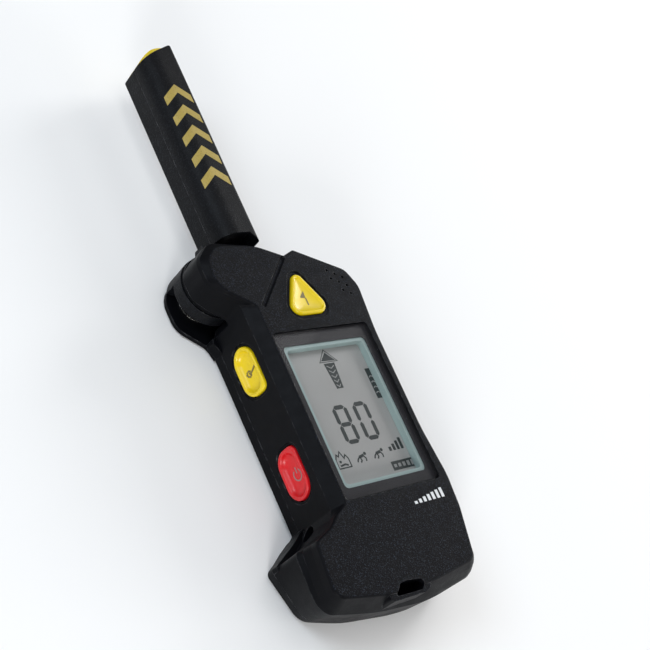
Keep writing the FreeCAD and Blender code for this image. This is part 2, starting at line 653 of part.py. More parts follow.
def window_mask():
    sheet = prism(rectangle(WINDOW_X, 0, WINDOW_W - 0.2, WINDOW_H - 0.2, 1.4), 24.45, WINDOW_LOW_Z - 0.02)
    return sheet.cut(prism(rectangle(VIEW_X, VIEW_Y, VIEW_W, VIEW_H, 1.6), 20, 30))


def display_frame():
    """Light surround that carries the display glass; its upper lip shows round the display."""
    body = prism(rectangle(VIEW_X, VIEW_Y, 36.6, 52.0, 1.0), 18.1, 24.38)
    lip = prism(rectangle(VIEW_X, VIEW_Y, VIEW_W - 2.4, VIEW_H - 2.4, 1.2), 10, 30)
    pocket = prism(rectangle(VIEW_X, VIEW_Y, 34.8, 50.0, 0.5), 10, GLASS_TOP_Z + 0.05)
    return body.cut(lip).cut(pocket)


def display_glass():
    return prism(rectangle(VIEW_X, VIEW_Y, 34.4, 49.6, 0.3), GLASS_TOP_Z - GLASS_THICK, GLASS_TOP_Z)


def display_backlight():
    return prism(rectangle(VIEW_X, VIEW_Y + 2.0, 34.0, 44.0, 0.3), 18.2, GLASS_TOP_Z - GLASS_THICK - 0.05)


def display_connector():
    return block(VIEW_X - 14.0, VIEW_X + 14.0, -24.6, -22.8, BOARD_TOP_Z + 0.02,
                 GLASS_TOP_Z - GLASS_THICK - 0.02)


def window_seal():
    ring = prism(rectangle(WINDOW_X, 0, 39.2, 55.9, 1.5), 24.42, 24.74)
    return ring.cut(prism(rectangle(WINDOW_X, 0, WINDOW_W - 0.15, WINDOW_H - 0.15, 1.4), 24, 25))


# ---- electronics ----
def main_board():
    corners = [(-10.4, -37.4, 1.0), (26.4, -37.4, 1.0), (26.4, 24.6, 1.0), (19.6, 26.4, 0),
               (15.6, 34.0, 0), (15.6, 46.6, 1.0), (-1.6, 46.6, 1.0), (-4.4, 41.6, 0), (-6.4, 36.4, 0),
               (-6.4, 28.0, 0), (-10.4, 26.0, 0)]
    board = prism(corners, BOARD_LOW_Z, BOARD_TOP_Z)
    return board.cut(drum(24.4, -34.0, 10, 20, 0.8)).cut(drum(-8.0, -34.0, 10, 20, 0.8))


def processor():
    return block(-2.0, 8.0, 3.0, 13.0, BOARD_TOP_Z + 0.02, 17.2)


def shield_can():
    can = block(10.5, 23.5, -4.0, 14.0, BOARD_TOP_Z + 0.02, 17.8)
    return can.cut(block(10.8, 23.2, -3.7, 13.7, BOARD_TOP_Z - 1, 17.5))


def board_parts():
    """Small chips, coils and capacitors in rows on the board's upper side."""
    low = BOARD_TOP_Z + 0.02
    parts = []
    for i in range(6):
        parts.append(block(-6.0 + 5.0 * i, -3.6 + 5.0 * i, -13.0, -11.6, low, low + 0.9))
        parts.append(block(-6.0 + 5.0 * i, -4.4 + 5.0 * i, -18.0, -15.2, low, low + 1.2))
    for i in range(4):
        parts.append(block(-5.0 + 3.4 * i, -2.8 + 3.4 * i, 18.0, 21.4, low, low + 1.3))
    return group(parts)


def mark_switch():
    body = block(MARK_CENTRE[0] - 3.0, MARK_CENTRE[0] + 3.0, MARK_CENTRE[1] - 3.0, MARK_CENTRE[1] + 3.0,
                 BOARD_TOP_Z + 0.02, 19.0)
    return body.fuse(drum(MARK_CENTRE[0], MARK_CENTRE[1], 19.0, 19.45, 1.6)).removeSplitter()


def side_board():
    board = block(-11.4, -10.7, -24.0, 29.6, 8.6, 18.4)
    return board.cut(block(-12, -10.6, -2.0, 10.0, 15.0, 20.0))


def side_switches():
    switches = []
    for y, _ in SIDE_KEYS:
        body = block(-12.5, -11.4, y - 2.2, y + 2.2, SIDE_BUTTON_Z - 2.2, SIDE_BUTTON_Z + 2.2)
        switches.append(body)
    return group(switches)


def side_button_seal():
    """Rubber sheet behind the side buttons, with a hole for each stem."""
    sheet = block(-13.1, -12.7, -25.0, 29.8, 8.2, 19.2)
    for y, _ in SIDE_KEYS:
        sheet = sheet.cut(rod_x(-14, -12, y, SIDE_BUTTON_Z, 2.0))
    return sheet


def side_button(y, square_end):
    """Racetrack key: cap with a raised rim and a sunk middle, a flange inside the wall and a stem."""
    cap = side_key(y, square_end, 0, WAIST_X - 0.1, -14.1)
    sunk = side_key(y, square_end, -1.5, WAIST_X - 1, WAIST_X + 0.5)
    flange = side_key(y, square_end, 0.9, -14.2, -13.8)
    stem = rod_x(-13.9, -13.3, y, SIDE_BUTTON_Z, 1.5)
    return joined([cap, flange, stem]).cut(sunk)


def option_button():
    return side_button(*SIDE_KEYS[0])


def power_button():
    return side_button(*SIDE_KEYS[1])


def mark_button():
    cap = prism(MARK_CORNERS, 23.2, MARK_TOP_Z)
    rim = [e for e in cap.Edges if e.BoundBox.ZMin > MARK_TOP_Z - 0.01]
    cap = cap.makeFillet(0.7, rim)
    flange = offset_prism(MARK_CORNERS, 0.7, 22.9, 23.6)
    stem = drum(MARK_CENTRE[0], MARK_CENTRE[1], 20.25, 23.0, 1.5)
    return joined([cap, flange, stem])


def mark_button_seal():
    ring = offset_prism(MARK_CORNERS, 1.7, 23.0, INNER_TOP_Z - 0.03)
    return ring.cut(offset_prism(MARK_CORNERS, 1.0, 20, 30))


# ---- sound and vibration ----
def speaker():
    can = drum(SPEAKER_X, SPEAKER_Y, 18.0, 21.6, SPEAKER_R)
    magnet = drum(SPEAKER_X, SPEAKER_Y, 16.6, 18.0, 3.6)
    return joined([can, magnet]).cut(drum(SPEAKER_X, SPEAKER_Y, 21.2, 22.0, SPEAKER_R - 0.7))


def speaker_gasket():
    return tube(SPEAKER_X, SPEAKER_Y, 21.65, 23.6, SPEAKER_R, SPEAKER_R - 0.9)


def speaker_mesh():
    return drum(SPEAKER_X, SPEAKER_Y, 23.65, 23.95, SPEAKER_R)


def vibration_motor():
    can = rod_x(-21.0, -11.5, -42.0, 18.0, 3.0)
    weight = rod_x(-24.6, -21.8, -42.0, 18.0, 2.6).cut(block(-30, -21, -50, -30, 18.3, 30))
    shaft = rod_x(-22.0, -20.9, -42.0, 18.0, 0.5)
    return joined([can, weight, shaft])


# ---- antennas in the casing ----
def base_antenna_rod():
    return rod_x(-21.0, 23.0, ROD_Y, ROD_Z, 3.0)


def base_antenna_coil():
    return rod_x(-14.0, 16.0, ROD_Y, ROD_Z, 4.2).cut(rod_x(-15.0, 17.0, ROD_Y, ROD_Z, 3.05))


def base_antenna_holders():
    holders = []
    for x in (-18.6, 17.8):
        ring = rod_x(x, x + 2.8, ROD_Y, ROD_Z, 4.0)
        foot = block(x, x + 2.8, ROD_Y - 3.2, ROD_Y + 3.2, WALL + 0.02, ROD_Z)
        holders.append(joined([ring, foot]).cut(rod_x(x - 1, x + 4, ROD_Y, ROD_Z, 3.05)))
    return group(holders)


def height_antenna_rod():
    return drum(HEIGHT_X, HEIGHT_Y, 3.4, 13.8, 2.2)


def height_antenna_coil():
    return tube(HEIGHT_X, HEIGHT_Y, 4.4, 12.8, 3.4, 2.25)


# ---- battery compartment ----
def battery_tray():
    tray = block(TRAY_X0, TRAY_X1, TRAY_Y0, TRAY_Y1, TRAY_LOW_Z + 0.02, TRAY_TOP_Z)
    space = block(TRAY_X0 + TRAY_WALL, TRAY_X1 - TRAY_WALL, TRAY_Y0 + TRAY_WALL, TRAY_Y1 - TRAY_WALL,
                  0, TRAY_TOP_Z - TRAY_WALL)
    return tray.cut(space)


def cell_sides():
    """Centre line and direction of each cell: neighbours lie head to tail."""
    return [(CELL_MID_X - CELL_PITCH, 1), (CELL_MID_X, -1), (CELL_MID_X + CELL_PITCH, 1)]


def battery_cells():
    cells = []
    for x, side in cell_sides():
        mid = (TRAY_Y0 + TRAY_Y1) / 2 - side * 1.6
        can = rod_y(mid - CELL_BODY / 2, mid + CELL_BODY / 2, x, CELL_Z, CELL_R)
        nub_from = mid - side * CELL_BODY / 2
        nub_to = nub_from - side * CELL_NUB
        nub = rod_y(min(nub_from, nub_to), max(nub_from, nub_to), x, CELL_Z, 1.9)
        cells.append(joined([can, nub]))
    return group(cells)


def battery_springs():
    """Bowed leaf springs between the contact plates and the flat ends of the cells."""
    springs = []
    for x, side in cell_sides():
        seat = (TRAY_Y0 + TRAY_Y1) / 2 + side * ((TRAY_Y1 - TRAY_Y0) / 2 - TRAY_WALL - CONTACT_THICK - 0.06)
        ring = tube(x, seat, CELL_Z - 2.0, CELL_Z + 2.0, 4.0, 3.65)
        half = block(x - 5, x + 5, min(seat, seat - side * 5), max(seat, seat - side * 5), 0, 20)
        springs.append(ring.common(half))
    return group(springs)


def battery_contacts():
    plates = []
    for x, side in cell_sides():
        for y in (TRAY_Y0 + TRAY_WALL + 0.02, TRAY_Y1 - TRAY_WALL - CONTACT_THICK - 0.02):
            plates.append(block(x - 4.0, x + 4.0, y, y + CONTACT_THICK, 4.0, 11.0))
    return group(plates)


def battery_cover():
    plate = block(COVER_X0, COVER_X1, COVER_Y0, COVER_Y1, COVER_LOW_Z, COVER_TOP_Z)
    edges = [e for e in plate.Edges if e.BoundBox.ZLength > 1]
    plate = plate.makeFillet(0.2, edges)
    grips = []
    for y in (-31.0, -29.0, -27.0):
        grips.append(block(CELL_MID_X - 8, CELL_MID_X + 8, y, y + 0.9, 0, COVER_LOW_Z + 0.35))
    hole = drum(CELL_MID_X, COVER_SCREW_Y, -1, 3, COVER_SCREW_R + 0.15)
    sink = drum(CELL_MID_X, COVER_SCREW_Y, -1, 0.85, 3.4)
    return plate.cut(Part.makeCompound(grips + [hole, sink])).Solids[0]


def cover_seal():
    ring = block(COVER_X0 + 0.4, COVER_X1 - 0.4, COVER_Y0 + 0.4, TRAY_Y1 + 0.9,
                 COVER_TOP_Z + 0.01, LEDGE_Z - 0.02)
    return ring.cut(block(TRAY_X0 + 0.9, TRAY_X1 - 0.9, TRAY_Y0 + 0.9, TRAY_Y1 - 0.9, 0, 3))


def cover_screw():
    head = drum(CELL_MID_X, COVER_SCREW_Y, 0.12, 0.84, 3.2)
    slot = block(CELL_MID_X - 3.4, CELL_MID_X + 3.4, COVER_SCREW_Y - 0.6, COVER_SCREW_Y + 0.6, 0, 0.5)
    return joined([head, drum(CELL_MID_X, COVER_SCREW_Y, 0.8, 8.4, COVER_SCREW_R)]).cut(slot)


NODES = {
    "front_shell": front_shell, "rear_shell": rear_shell, "casing_seal": casing_seal,
    "casing_screws": casing_screws, "hinge_pin": hinge_pin, "hinge_cap": hinge_cap, "hinge_bush": hinge_bush,
    "hinge_washer": hinge_washer, "hinge_spacer": hinge_spacer, "hinge_o_ring": hinge_o_ring,
    "hinge_lead": hinge_lead, "arm_lead": arm_lead, "arm_front_shell": arm_front_shell,
    "arm_rear_shell": arm_rear_shell, "arm_screws": arm_screws, "arm_antenna_rod": arm_antenna_rod,
    "arm_antenna_coil": arm_antenna_coil, "arm_antenna_cradle": arm_antenna_cradle, "arm_magnet": arm_magnet,
    "lock_button": lock_button, "lock_spring": lock_spring, "display_window": display_window,
    "window_mask": window_mask, "window_seal": window_seal, "display_frame": display_frame,
    "display_glass": display_glass, "display_backlight": display_backlight,
    "display_connector": display_connector, "main_board": main_board, "processor": processor,
    "shield_can": shield_can, "board_parts": board_parts, "mark_switch": mark_switch,
    "side_board": side_board, "side_switches": side_switches, "side_button_seal": side_button_seal,
    "mark_button": mark_button, "mark_button_seal": mark_button_seal, "speaker": speaker,
    "speaker_gasket": speaker_gasket, "speaker_mesh": speaker_mesh, "vibration_motor": vibration_motor,
    "base_antenna_rod": base_antenna_rod, "base_antenna_coil": base_antenna_coil,
    "base_antenna_holders": base_antenna_holders, "height_antenna_rod": height_antenna_rod,
    "height_antenna_coil": height_antenna_coil, "battery_tray": battery_tray, "battery_cells": battery_cells,
    "battery_springs": battery_springs, "battery_contacts": battery_contacts, "battery_cover": battery_cover,
    "cover_seal": cover_seal, "cover_screw": cover_screw, "option_button": option_button,
    "power_button": power_button,
}

os.makedirs("parts", exist_ok=True)
for node, make in NODES.items():
    save(make(), node)
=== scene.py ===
import json
import math
import bmesh
import bpy
from mathutils import Matrix, Vector


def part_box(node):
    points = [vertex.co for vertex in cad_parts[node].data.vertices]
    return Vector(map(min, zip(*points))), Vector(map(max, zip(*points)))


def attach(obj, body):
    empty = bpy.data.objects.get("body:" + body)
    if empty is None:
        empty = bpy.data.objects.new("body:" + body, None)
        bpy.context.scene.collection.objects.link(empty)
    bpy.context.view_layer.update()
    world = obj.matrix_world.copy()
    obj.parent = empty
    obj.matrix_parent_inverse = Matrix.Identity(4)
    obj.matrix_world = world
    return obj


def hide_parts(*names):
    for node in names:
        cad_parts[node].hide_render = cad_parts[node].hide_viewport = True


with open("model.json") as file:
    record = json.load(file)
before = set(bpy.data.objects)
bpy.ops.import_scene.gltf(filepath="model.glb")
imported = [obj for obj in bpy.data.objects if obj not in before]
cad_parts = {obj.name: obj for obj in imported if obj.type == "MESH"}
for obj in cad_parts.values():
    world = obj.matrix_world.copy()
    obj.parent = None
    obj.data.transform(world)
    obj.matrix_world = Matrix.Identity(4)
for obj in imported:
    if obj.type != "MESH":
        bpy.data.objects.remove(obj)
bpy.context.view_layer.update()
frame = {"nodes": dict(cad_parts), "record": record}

MM = 0.001
NODES = frame["nodes"]


def low(node):
    """Lowest corner of a CAD node, in millimetres."""
    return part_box(node)[0] / MM


def high(node):
    """Highest corner of a CAD node, in millimetres."""
    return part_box(node)[1] / MM


def middle(node):
    return (low(node) + high(node)) / 2


# ---- materials ----
def new_material(name):
    """Material with a Principled shader; returns it with its node tree and shader."""
    material = bpy.data.materials.new(name)
    material.use_nodes = True
    tree = material.node_tree
    return material, tree, tree.nodes["Principled BSDF"]


def noise(tree, feature, detail=3.0, roughness=0.55):
    """Soft noise with features of about that many millimetres, fixed to the piece."""
    place = tree.nodes.new("ShaderNodeTexCoord")
    node = tree.nodes.new("ShaderNodeTexNoise")
    node.inputs["Scale"].default_value = 1 / (feature * MM)
    node.inputs["Detail"].default_value = detail
    node.inputs["Roughness"].default_value = roughness
    tree.links.new(place.outputs["Object"], node.inputs["Vector"])
    return node.outputs["Fac"]


def remap(tree, value, low_in, high_in, low_out, high_out):
    node = tree.nodes.new("ShaderNodeMapRange")
    node.interpolation_type = "SMOOTHSTEP"
    node.inputs["From Min"].default_value = low_in
    node.inputs["From Max"].default_value = high_in
    node.inputs["To Min"].default_value = low_out
    node.inputs["To Max"].default_value = high_out
    tree.links.new(value, node.inputs["Value"])
    return node.outputs["Result"]


def calculate(tree, operation, first, second):
    """Math node; each side is an output or a number."""
    node = tree.nodes.new("ShaderNodeMath")
    node.operation = operation
    for socket, value in zip(node.inputs, (first, second)):
        if isinstance(value, (int, float)):
            socket.default_value = value
        else:
            tree.links.new(value, socket)
    return node.outputs["Value"]


def blend_colour(tree, factor, first, second):
    """Mixes two colours; each is an output or an (r, g, b) in linear light."""
    node = tree.nodes.new("ShaderNodeMix")
    node.data_type = "RGBA"
    tree.links.new(factor, node.inputs["Factor"])
    for socket, value in ((node.inputs[6], first), (node.inputs[7], second)):
        if isinstance(value, tuple):
            socket.default_value = (*value, 1.0)
        else:
            tree.links.new(value, socket)
    return node.outputs[2]


def bump(tree, height, depth, normal=None):
    """Relief of that many millimetres from a height between 0 and 1."""
    node = tree.nodes.new("ShaderNodeBump")
    node.inputs["Strength"].default_value = 1.0
    node.inputs["Distance"].default_value = depth * MM
    tree.links.new(height, node.inputs["Height"])
    if normal:
        tree.links.new(normal, node.inputs["Normal"])
    return node.outputs["Normal"]


def rounded_edges(tree, radius):
    """Normal that rounds the piece's sharp edges off over a radius in millimetres."""
    node = tree.nodes.new("ShaderNodeBevel")
    node.samples = 4
    node.inputs["Radius"].default_value = radius * MM
    return node.outputs["Normal"]


def edge_mask(tree, soft_normal):
    """1 along sharp edges and 0 on flat ground, where the rounded normal leaves the true one."""
    geometry = tree.nodes.new("ShaderNodeNewGeometry")
    dot = tree.nodes.new("ShaderNodeVectorMath")
    dot.operation = "DOT_PRODUCT"
    tree.links.new(soft_normal, dot.inputs[0])
    tree.links.new(geometry.outputs["Normal"], dot.inputs[1])
    return remap(tree, dot.outputs["Value"], 0.999, 0.93, 0.0, 1.0)


def front_face_mask(tree, height):
    """1 on surfaces that face the front above a height in millimetres, 0 elsewhere."""
    place = tree.nodes.new("ShaderNodeTexCoord")
    position = tree.nodes.new("ShaderNodeSeparateXYZ")
    facing = tree.nodes.new("ShaderNodeSeparateXYZ")
    tree.links.new(place.outputs["Object"], position.inputs[0])
    tree.links.new(place.outputs["Normal"], facing.inputs[0])
    above = remap(tree, position.outputs["Z"], height * MM, (height + 0.3) * MM, 0.0, 1.0)
    flat = remap(tree, facing.outputs["Z"], 0.75, 0.97, 0.0, 1.0)
    return calculate(tree, "MULTIPLY", above, flat)


WORN_SHINE = 0.3


def moulded(name, dark, light, rough, grain=0.5, relief=0.02, speck=None, textured_above=None, edge_wear_and_highlight=None,
            edge=0.25, specular=0.5, patch=6.0):
    """Moulded plastic or rubber: mottled colour, fine grain, softened edges whose colour is lightened, partly
    as rubbed wear and partly as a painted highlight.

    speck is the colour of the bright grains of a spark-eroded face, which covers only surfaces that
    face the front above textured_above, or everything if that is None.
    """
    material, tree, shader = new_material(name)
    colour = blend_colour(tree, noise(tree, patch), dark, light)
    fine = noise(tree, grain, 2.0)
    gloss = remap(tree, noise(tree, patch * 0.6), 0.3, 0.7, rough[0], rough[1])
    height = fine
    if speck:
        coarse = noise(tree, grain * 1.9, 2.0)
        crests = remap(tree, noise(tree, grain * 0.8, 1.0), 0.5, 0.72, 0.0, 1.0)
        amount = calculate(tree, "MULTIPLY", crests, remap(tree, coarse, 0.35, 0.65, 0.35, 1.0))
        height = calculate(tree, "ADD", calculate(tree, "MULTIPLY", crests, 0.9), coarse)
        if textured_above is not None:
            mask = front_face_mask(tree, textured_above)
            amount = calculate(tree, "MULTIPLY", amount, mask)
            strength = calculate(tree, "ADD", calculate(tree, "MULTIPLY", mask, 0.8), 0.2)
            height = calculate(tree, "MULTIPLY", height, strength)
            gloss = calculate(tree, "ADD", gloss, calculate(tree, "MULTIPLY", mask, 0.1))
        colour = blend_colour(tree, amount, colour, speck)
    soft_normal = rounded_edges(tree, edge)
    if edge_wear_and_highlight:
        # Every sharp edge gets a lighter colour: partly rubbed wear, partly a painted highlight along the
        # edges.
        wear_and_highlight_mask = calculate(tree, "MULTIPLY", edge_mask(tree, soft_normal),
                         remap(tree, noise(tree, 2.2), 0.42, 0.66, 0.15, 1.0))
        colour = blend_colour(tree, wear_and_highlight_mask, colour, edge_wear_and_highlight)
        gloss = calculate(tree, "SUBTRACT", gloss, calculate(tree, "MULTIPLY", wear_and_highlight_mask, 0.15))
    tree.links.new(colour, shader.inputs["Base Color"])
    tree.links.new(gloss, shader.inputs["Roughness"])
    tree.links.new(bump(tree, height, relief, soft_normal), shader.inputs["Normal"])
    if edge_wear_and_highlight:
        shine = remap(tree, wear_and_highlight_mask, 0.0, 1.0, specular, specular + WORN_SHINE)
        tree.links.new(shine, shader.inputs["Specular IOR Level"])
    else:
        shader.inputs["Specular IOR Level"].default_value = specular
    return material


def metal(name, dark, light, rough, stretch=(1.0, 1.0, 1.0), grain=0.4, relief=0.004):
    """Bare metal with fine machining lines along the axis where stretch is smallest."""
    material, tree, shader = new_material(name)
    place = tree.nodes.new("ShaderNodeTexCoord")
    scale = tree.nodes.new("ShaderNodeMapping")
    scale.inputs["Scale"].default_value = stretch
    lines = tree.nodes.new("ShaderNodeTexNoise")
    lines.inputs["Scale"].default_value = 1 / (grain * MM)
    lines.inputs["Detail"].default_value = 4.0
    tree.links.new(place.outputs["Object"], scale.inputs["Vector"])
    tree.links.new(scale.outputs["Vector"], lines.inputs["Vector"])
    stain = noise(tree, 3.0)
    tree.links.new(blend_colour(tree, stain, dark, light), shader.inputs["Base Color"])
    gloss = remap(tree, lines.outputs["Fac"], 0.3, 0.7, rough[0], rough[1])
    tree.links.new(gloss, shader.inputs["Roughness"])
    normal = bump(tree, lines.outputs["Fac"], relief, rounded_edges(tree, 0.12))
    tree.links.new(normal, shader.inputs["Normal"])
    shader.inputs["Metallic"].default_value = 1.0
    return material


def banded(name, first, second, period, axis, rough, relief=0.03, metallic=0.0):
    """Bands across an axis, such as the turns of a winding or the stripes of a wire mesh."""
    material, tree, shader = new_material(name)
    place = tree.nodes.new("ShaderNodeTexCoord")
    wave = tree.nodes.new("ShaderNodeTexWave")
    wave.bands_direction = axis
    wave.inputs["Scale"].default_value = math.pi / (10 * period * MM)
    wave.inputs["Distortion"].default_value = 0.6
    wave.inputs["Detail"].default_value = 1.0
    tree.links.new(place.outputs["Object"], wave.inputs["Vector"])
    tree.links.new(blend_colour(tree, wave.outputs["Fac"], first, second), shader.inputs["Base Color"])
    tree.links.new(remap(tree, noise(tree, 1.5), 0.3, 0.7, rough[0], rough[1]), shader.inputs["Roughness"])
    tree.links.new(bump(tree, wave.outputs["Fac"], relief), shader.inputs["Normal"])
    shader.inputs["Metallic"].default_value = metallic
    return material


def clear_window():
    """Clear hard-coated window: nearly invisible straight on, with faint handling haze."""
    material, tree, shader = new_material("window_clear")
    haze = noise(tree, 9.0, 4.0)
    tint = blend_colour(tree, haze, (0.02, 0.02, 0.024), (0.035, 0.034, 0.038))
    tree.links.new(tint, shader.inputs["Base Color"])
    tree.links.new(remap(tree, haze, 0.3, 0.7, 0.05, 0.11), shader.inputs["Roughness"])
    tree.links.new(bump(tree, noise(tree, 5.0, 1.0), 0.004), shader.inputs["Normal"])
    shader.inputs["Alpha"].default_value = 0.14
    shader.inputs["Coat Weight"].default_value = 0.3
    shader.inputs["Coat Roughness"].default_value = 0.05
    return material


def printed_board():
    """Green circuit board: solder resist over a net of copper tracks."""
    material, tree, shader = new_material("circuit_board")
    place = tree.nodes.new("ShaderNodeTexCoord")
    tracks = tree.nodes.new("ShaderNodeTexVoronoi")
    tracks.distance = "MANHATTAN"
    tracks.feature = "F1"
    tracks.inputs["Scale"].default_value = 1 / (3.2 * MM)
    tree.links.new(place.outputs["Object"], tracks.inputs["Vector"])
    lines = remap(tree, calculate(tree, "PINGPONG", tracks.outputs["Distance"], 0.12), 0.03, 0.07, 0.0, 1.0)
    colour = blend_colour(tree, lines, (0.004, 0.045, 0.018), (0.012, 0.11, 0.045))
    tree.links.new(colour, shader.inputs["Base Color"])
    tree.links.new(remap(tree, noise(tree, 4.0), 0.3, 0.7, 0.3, 0.45), shader.inputs["Roughness"])
    tree.links.new(bump(tree, lines, 0.03), shader.inputs["Normal"])
    return material


BLACK = (0.0018, 0.002, 0.0028)
BLACK_LIGHT = (0.0034, 0.0037, 0.005)
# Lighter black for the edges: partly rubbed wear, partly a painted highlight.
WORN_AND_HIGHLIGHT_BLACK = (0.028, 0.03, 0.034)

MATERIALS = {
    "casing_front": moulded("casing_front", BLACK, BLACK_LIGHT, (0.42, 0.5), grain=0.42, relief=0.05,
                            speck=(0.017, 0.022, 0.034), textured_above=25.0, edge_wear_and_highlight=WORN_AND_HIGHLIGHT_BLACK, edge=0.35,
                            specular=0.07),
    "casing": moulded("casing_satin", BLACK, BLACK_LIGHT, (0.4, 0.5), grain=0.4, relief=0.02,
                      edge_wear_and_highlight=WORN_AND_HIGHLIGHT_BLACK, edge=0.35, specular=0.06),
    "casing_arm": moulded("casing_arm", BLACK, BLACK_LIGHT, (0.42, 0.52), grain=0.5, relief=0.045,
                          speck=(0.012, 0.014, 0.018), edge_wear_and_highlight=WORN_AND_HIGHLIGHT_BLACK, edge=0.4, specular=0.12),
    "seal": moulded("seal_rubber", (0.004, 0.004, 0.004), (0.009, 0.009, 0.009), (0.7, 0.85), relief=0.02,
                    specular=0.25),
    "yellow_key": moulded("key_yellow", (0.68, 0.5, 0.002), (0.76, 0.57, 0.004), (0.3, 0.4), grain=0.3,
                          relief=0.008, edge_wear_and_highlight=(0.82, 0.68, 0.06), edge=0.15),
    "red_key": moulded("key_red", (0.52, 0.004, 0.008), (0.62, 0.007, 0.012), (0.3, 0.4), grain=0.3,
                       relief=0.008, edge_wear_and_highlight=(0.7, 0.05, 0.05), edge=0.15),
    "window": clear_window(),
    "mask": moulded("window_print", (0.011, 0.0105, 0.014), (0.015, 0.0145, 0.019), (0.35, 0.45),
                    relief=0.004, edge=0.1, specular=0.3),
    "display_light": moulded("display_surround", (0.36, 0.48, 0.47), (0.43, 0.56, 0.55), (0.35, 0.5),
                             relief=0.01, edge=0.15),
    "display_glass": moulded("display_panel", (0.43, 0.43, 0.42), (0.48, 0.48, 0.47), (0.3, 0.4), grain=0.25,
                             relief=0.002, edge=0.05, patch=14.0),
    "steel": metal("steel_plain", (0.42, 0.42, 0.43), (0.56, 0.56, 0.57), (0.22, 0.38)),
    "spring_steel": metal("steel_spring", (0.5, 0.49, 0.46), (0.62, 0.6, 0.56), (0.18, 0.3), (1.0, 0.1, 1.0)),
    "brass": metal("brass_turned", (0.62, 0.42, 0.15), (0.74, 0.52, 0.2), (0.2, 0.34), (0.1, 0.1, 1.0)),
    "board": printed_board(),
    "chip": moulded("chip_epoxy", (0.012, 0.012, 0.013), (0.02, 0.02, 0.022), (0.5, 0.65), relief=0.02),
    "ferrite": moulded("ferrite_grey", (0.03, 0.028, 0.03), (0.055, 0.052, 0.055), (0.5, 0.7), relief=0.04),
    "winding": banded("winding_copper", (0.35, 0.1, 0.03), (0.72, 0.3, 0.12), 0.3, "Y", (0.25, 0.4),
                      metallic=0.85),
    "holder": moulded("holder_plastic", (0.012, 0.012, 0.013), (0.02, 0.02, 0.021), (0.45, 0.6), relief=0.02),
    "cell": metal("cell_jacket", (0.35, 0.36, 0.38), (0.5, 0.51, 0.53), (0.2, 0.3), (1.0, 0.05, 1.0)),
    "lead": moulded("lead_insulation", (0.01, 0.01, 0.011), (0.018, 0.018, 0.02), (0.4, 0.5), relief=0.01),
    "mesh": banded("mesh_cloth", (0.004, 0.004, 0.004), (0.03, 0.03, 0.03), 0.35, "DIAGONAL", (0.6, 0.8)),
}
LCD_INK = moulded("display_ink", (0.012, 0.022, 0.022), (0.018, 0.03, 0.03), (0.4, 0.5), relief=0.002,
                  edge=0.02)
LCD_CLEAR = moulded("display_clear", (0.34, 0.345, 0.34), (0.4, 0.405, 0.4), (0.4, 0.5), relief=0.002,
                    edge=0.02)
GOLD_PRINT = moulded("print_gold", (0.34, 0.25, 0.045), (0.42, 0.31, 0.06), (0.4, 0.55), grain=0.35,
                     relief=0.03, speck=(0.2, 0.15, 0.03), edge=0.05)
WHITE_PRINT = moulded("print_white", (0.6, 0.62, 0.64), (0.72, 0.74, 0.76), (0.5, 0.6), relief=0.01,
                      edge=0.05)
SIGN_BROWN = moulded("sign_brown", (0.13, 0.1, 0.035), (0.18, 0.14, 0.05), (0.5, 0.6), relief=0.005,
                     edge=0.02)
SIGN_GREY = moulded("sign_grey", (0.2, 0.14, 0.135), (0.28, 0.21, 0.2), (0.5, 0.6), relief=0.005, edge=0.02)

NODE_FINISH = {"front_shell": "casing_front", "arm_front_shell": "casing_arm", "arm_rear_shell": "casing_arm"}
SMOOTH_BELOW = math.radians(25)


def finish_cad_nodes():
    """Gives every CAD node the material of its slot, and smooth curved faces."""
    for part in frame["record"]["subparts"]:
        node = NODES[part["node"]]
        finish = NODE_FINISH.get(part["node"], part["material_slot"])
        node.data.materials.clear()
        node.data.materials.append(MATERIALS[finish])
        node.data.polygons.foreach_set("use_smooth", [True] * len(node.data.polygons))
        node.data.set_sharp_from_angle(angle=SMOOTH_BELOW)


